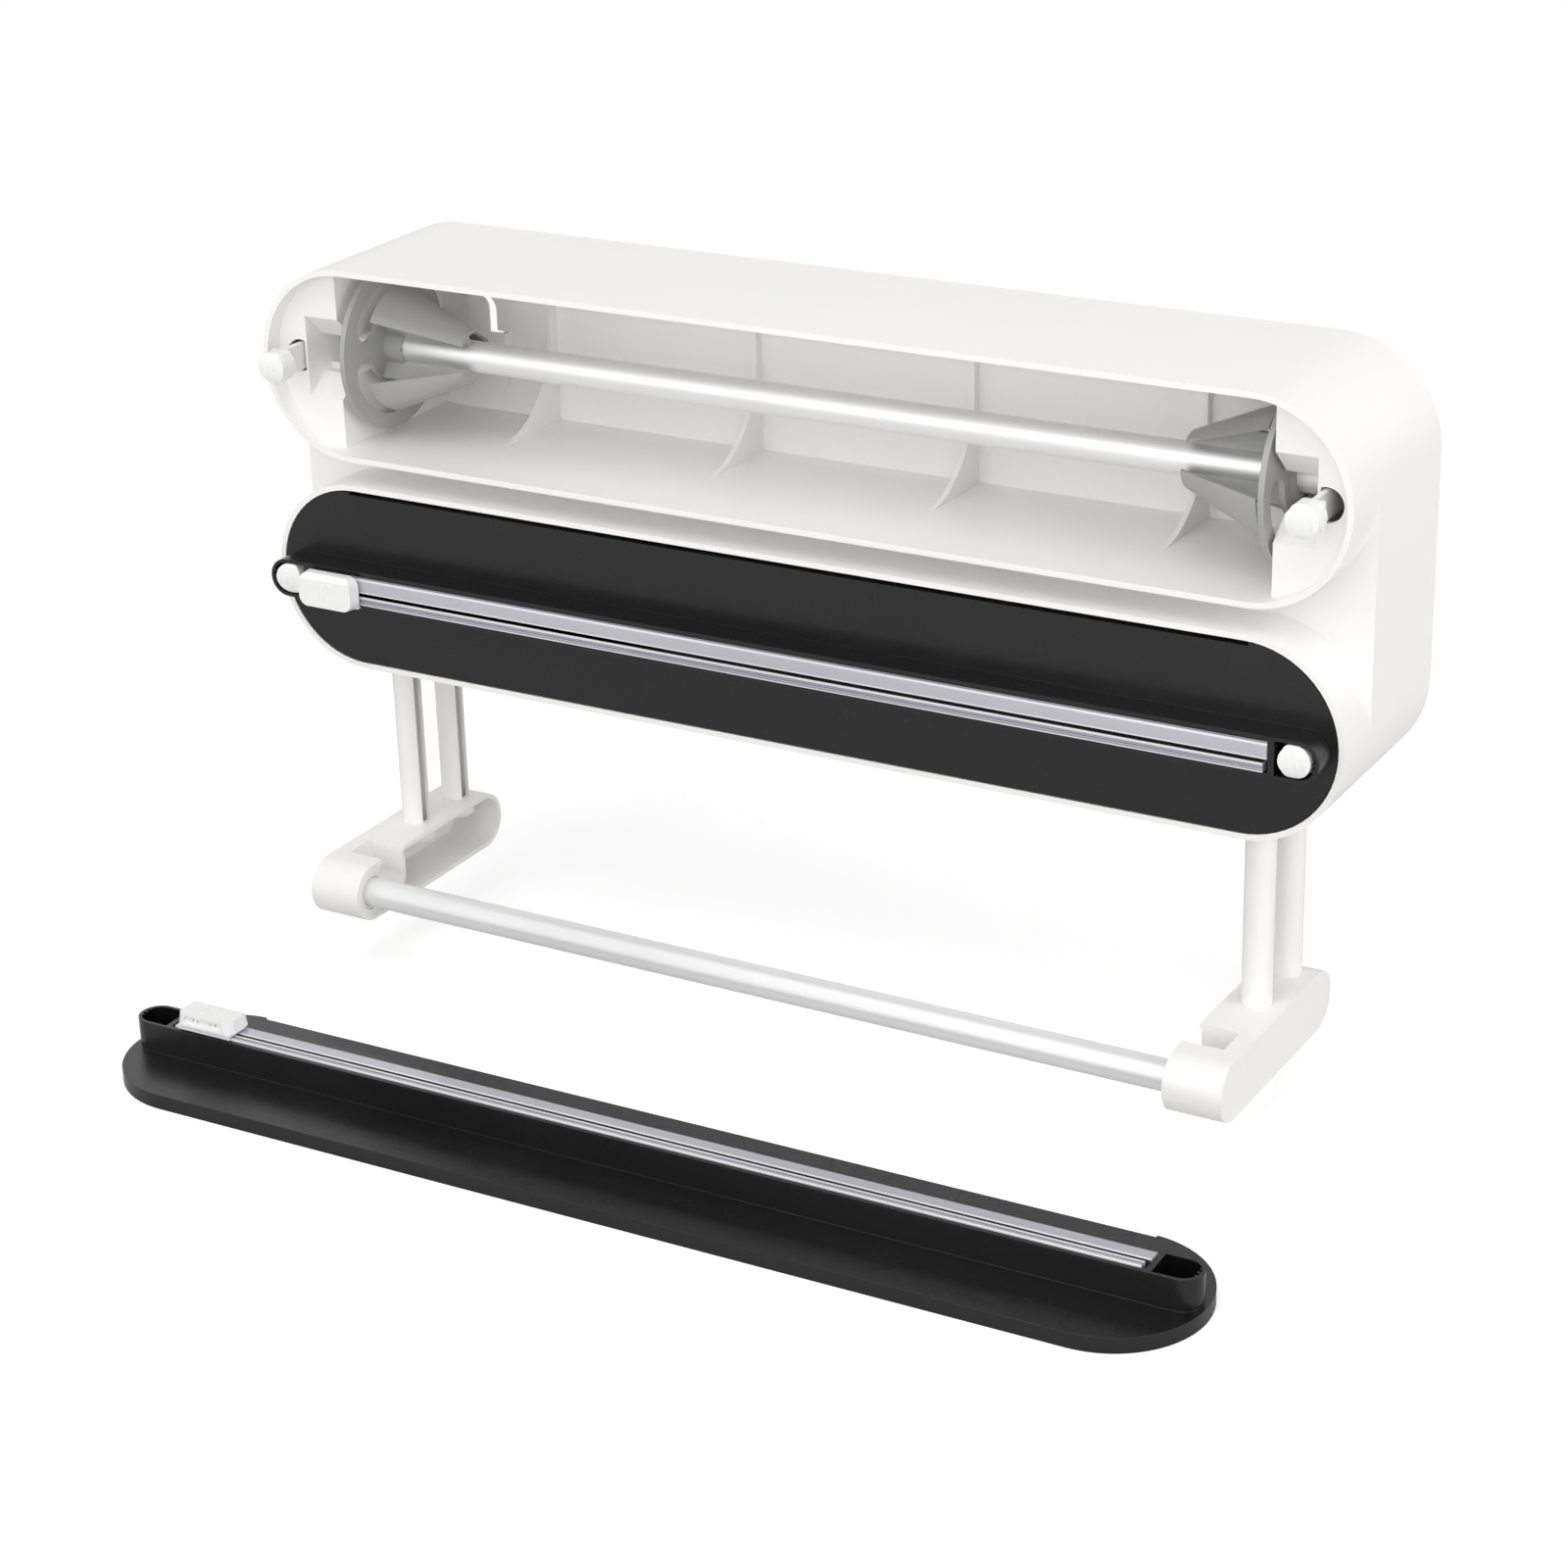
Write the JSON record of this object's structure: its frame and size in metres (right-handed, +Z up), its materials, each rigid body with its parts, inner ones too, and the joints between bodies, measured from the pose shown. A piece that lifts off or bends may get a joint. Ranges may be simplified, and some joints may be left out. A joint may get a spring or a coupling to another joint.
{
  "type": "wall-mounted wrap dispenser",
  "caption": "Wall-mounted dispenser for cling film and foil with clip-off covers, sliding cutters and a paper-towel rod; the upper cover lies in front of it.",
  "frame": {"origin": "on the wall plane, midway between the two hanging slots, at the centre height of their arches", "axes": "X along the wall to the viewer's right, Y into the wall with the covers facing -Y, Z up"},
  "size_m": [0.3717, 0.194, 0.2341],
  "materials": {
    "body_white": "satin white moulded plastic",
    "clip_white": "satin white moulded plastic",
    "hub_grey": "fine matt grey plastic",
    "spindle_aluminium": "drawn satin tube",
    "rod_white": "satin white coated tube",
    "cover_black": "fine matt black plastic",
    "clear_plastic": "clear extruded plastic with a faint lilac tint",
    "blade_steel": "ground steel"
  },
  "bodies": {
    "housing": {"housing": "body_white", "post_left_front": "body_white", "post_left_rear": "body_white", "post_right_front": "body_white", "post_right_rear": "body_white", "foot_left": "body_white", "foot_right": "body_white"},
    "latch_upper_left": {"latch_upper_left": "clip_white"},
    "latch_upper_right": {"latch_upper_right": "clip_white"},
    "latch_lower_left": {"latch_lower_left": "clip_white"},
    "latch_lower_right": {"latch_lower_right": "clip_white"},
    "spindle_upper": {"spindle_tube_upper": "spindle_aluminium"},
    "hub_upper_left": {"hub_upper_left": "hub_grey"},
    "hub_upper_right": {"hub_upper_right": "hub_grey"},
    "spindle_lower": {"spindle_tube_lower": "spindle_aluminium"},
    "hub_lower_left": {"hub_lower_left": "hub_grey"},
    "hub_lower_right": {"hub_lower_right": "hub_grey"},
    "cover_upper": {"cover_upper": "cover_black", "rail_upper": "clear_plastic"},
    "slider_upper": {"slider_cap_upper": "clip_white", "slider_base_upper": "clear_plastic", "blade_upper": "blade_steel"},
    "cover_lower": {"cover_lower": "cover_black", "rail_lower": "clear_plastic"},
    "slider_lower": {"slider_cap_lower": "clip_white", "slider_base_lower": "clear_plastic", "blade_lower": "blade_steel"},
    "rod": {"towel_rod": "rod_white", "rod_end_left": "clip_white", "rod_end_right": "clip_white"}
  },
  "joints": [
    {"name": "latch_upper_left_pivot", "type": "hinge", "parent": "housing", "child": "latch_upper_left", "pos_m": [-0.1744, -0.0265, -0.00435], "axis": [0, 0, 1], "range_deg": [0, 1.1], "stiffness_Nm_per_rad": 1},
    {"name": "latch_upper_right_pivot", "type": "hinge", "parent": "housing", "child": "latch_upper_right", "pos_m": [0.1744, -0.0265, -0.00435], "axis": [0, 0, 1], "range_deg": [-1.1, 0], "stiffness_Nm_per_rad": 1},
    {"name": "latch_lower_left_pivot", "type": "hinge", "parent": "housing", "child": "latch_lower_left", "pos_m": [-0.1744, -0.0265, -0.07475], "axis": [0, 0, 1], "range_deg": [0, 1.1], "stiffness_Nm_per_rad": 1},
    {"name": "latch_lower_right_pivot", "type": "hinge", "parent": "housing", "child": "latch_lower_right", "pos_m": [0.1744, -0.0265, -0.07475], "axis": [0, 0, 1], "range_deg": [-1.1, 0], "stiffness_Nm_per_rad": 1},
    {"name": "spindle_upper_spin", "type": "hinge", "parent": "housing", "child": "spindle_upper", "pos_m": [0, -0.0392, -0.00435], "axis": [1, 0, 0], "continuous": true},
    {"name": "hub_upper_left_slide", "type": "slide", "parent": "spindle_upper", "child": "hub_upper_left", "axis": [1, 0, 0], "range_m": [0, 0.06]},
    {"name": "hub_upper_right_slide", "type": "slide", "parent": "spindle_upper", "child": "hub_upper_right", "axis": [-1, 0, 0], "range_m": [0, 0.06]},
    {"name": "spindle_lower_spin", "type": "hinge", "parent": "housing", "child": "spindle_lower", "pos_m": [0, -0.0392, -0.07475], "axis": [1, 0, 0], "continuous": true},
    {"name": "hub_lower_left_slide", "type": "slide", "parent": "spindle_lower", "child": "hub_lower_left", "axis": [1, 0, 0], "range_m": [0, 0.06]},
    {"name": "hub_lower_right_slide", "type": "slide", "parent": "spindle_lower", "child": "hub_lower_right", "axis": [-1, 0, 0], "range_m": [0, 0.06]},
    {"name": "cover_lower_pull", "type": "slide", "parent": "housing", "child": "cover_lower", "axis": [0, -1, 0], "range_m": [0, 0.06]},
    {"name": "slider_lower_cut", "type": "slide", "parent": "cover_lower", "child": "slider_lower", "axis": [1, 0, 0], "range_m": [0, 0.305]},
    {"name": "cover_upper_lift", "type": "slide", "parent": "housing", "child": "cover_upper", "axis": [0, 0, 1], "range_m": [0, 0.12]},
    {"name": "slider_upper_cut", "type": "slide", "parent": "cover_upper", "child": "slider_upper", "axis": [0.9998, 0.0175, 0], "range_m": [0, 0.3]},
    {"name": "towel_rod_spin", "type": "hinge", "parent": "housing", "child": "rod", "pos_m": [0, -0.08568, -0.17683], "axis": [1, 0, 0], "continuous": true}
  ]
}
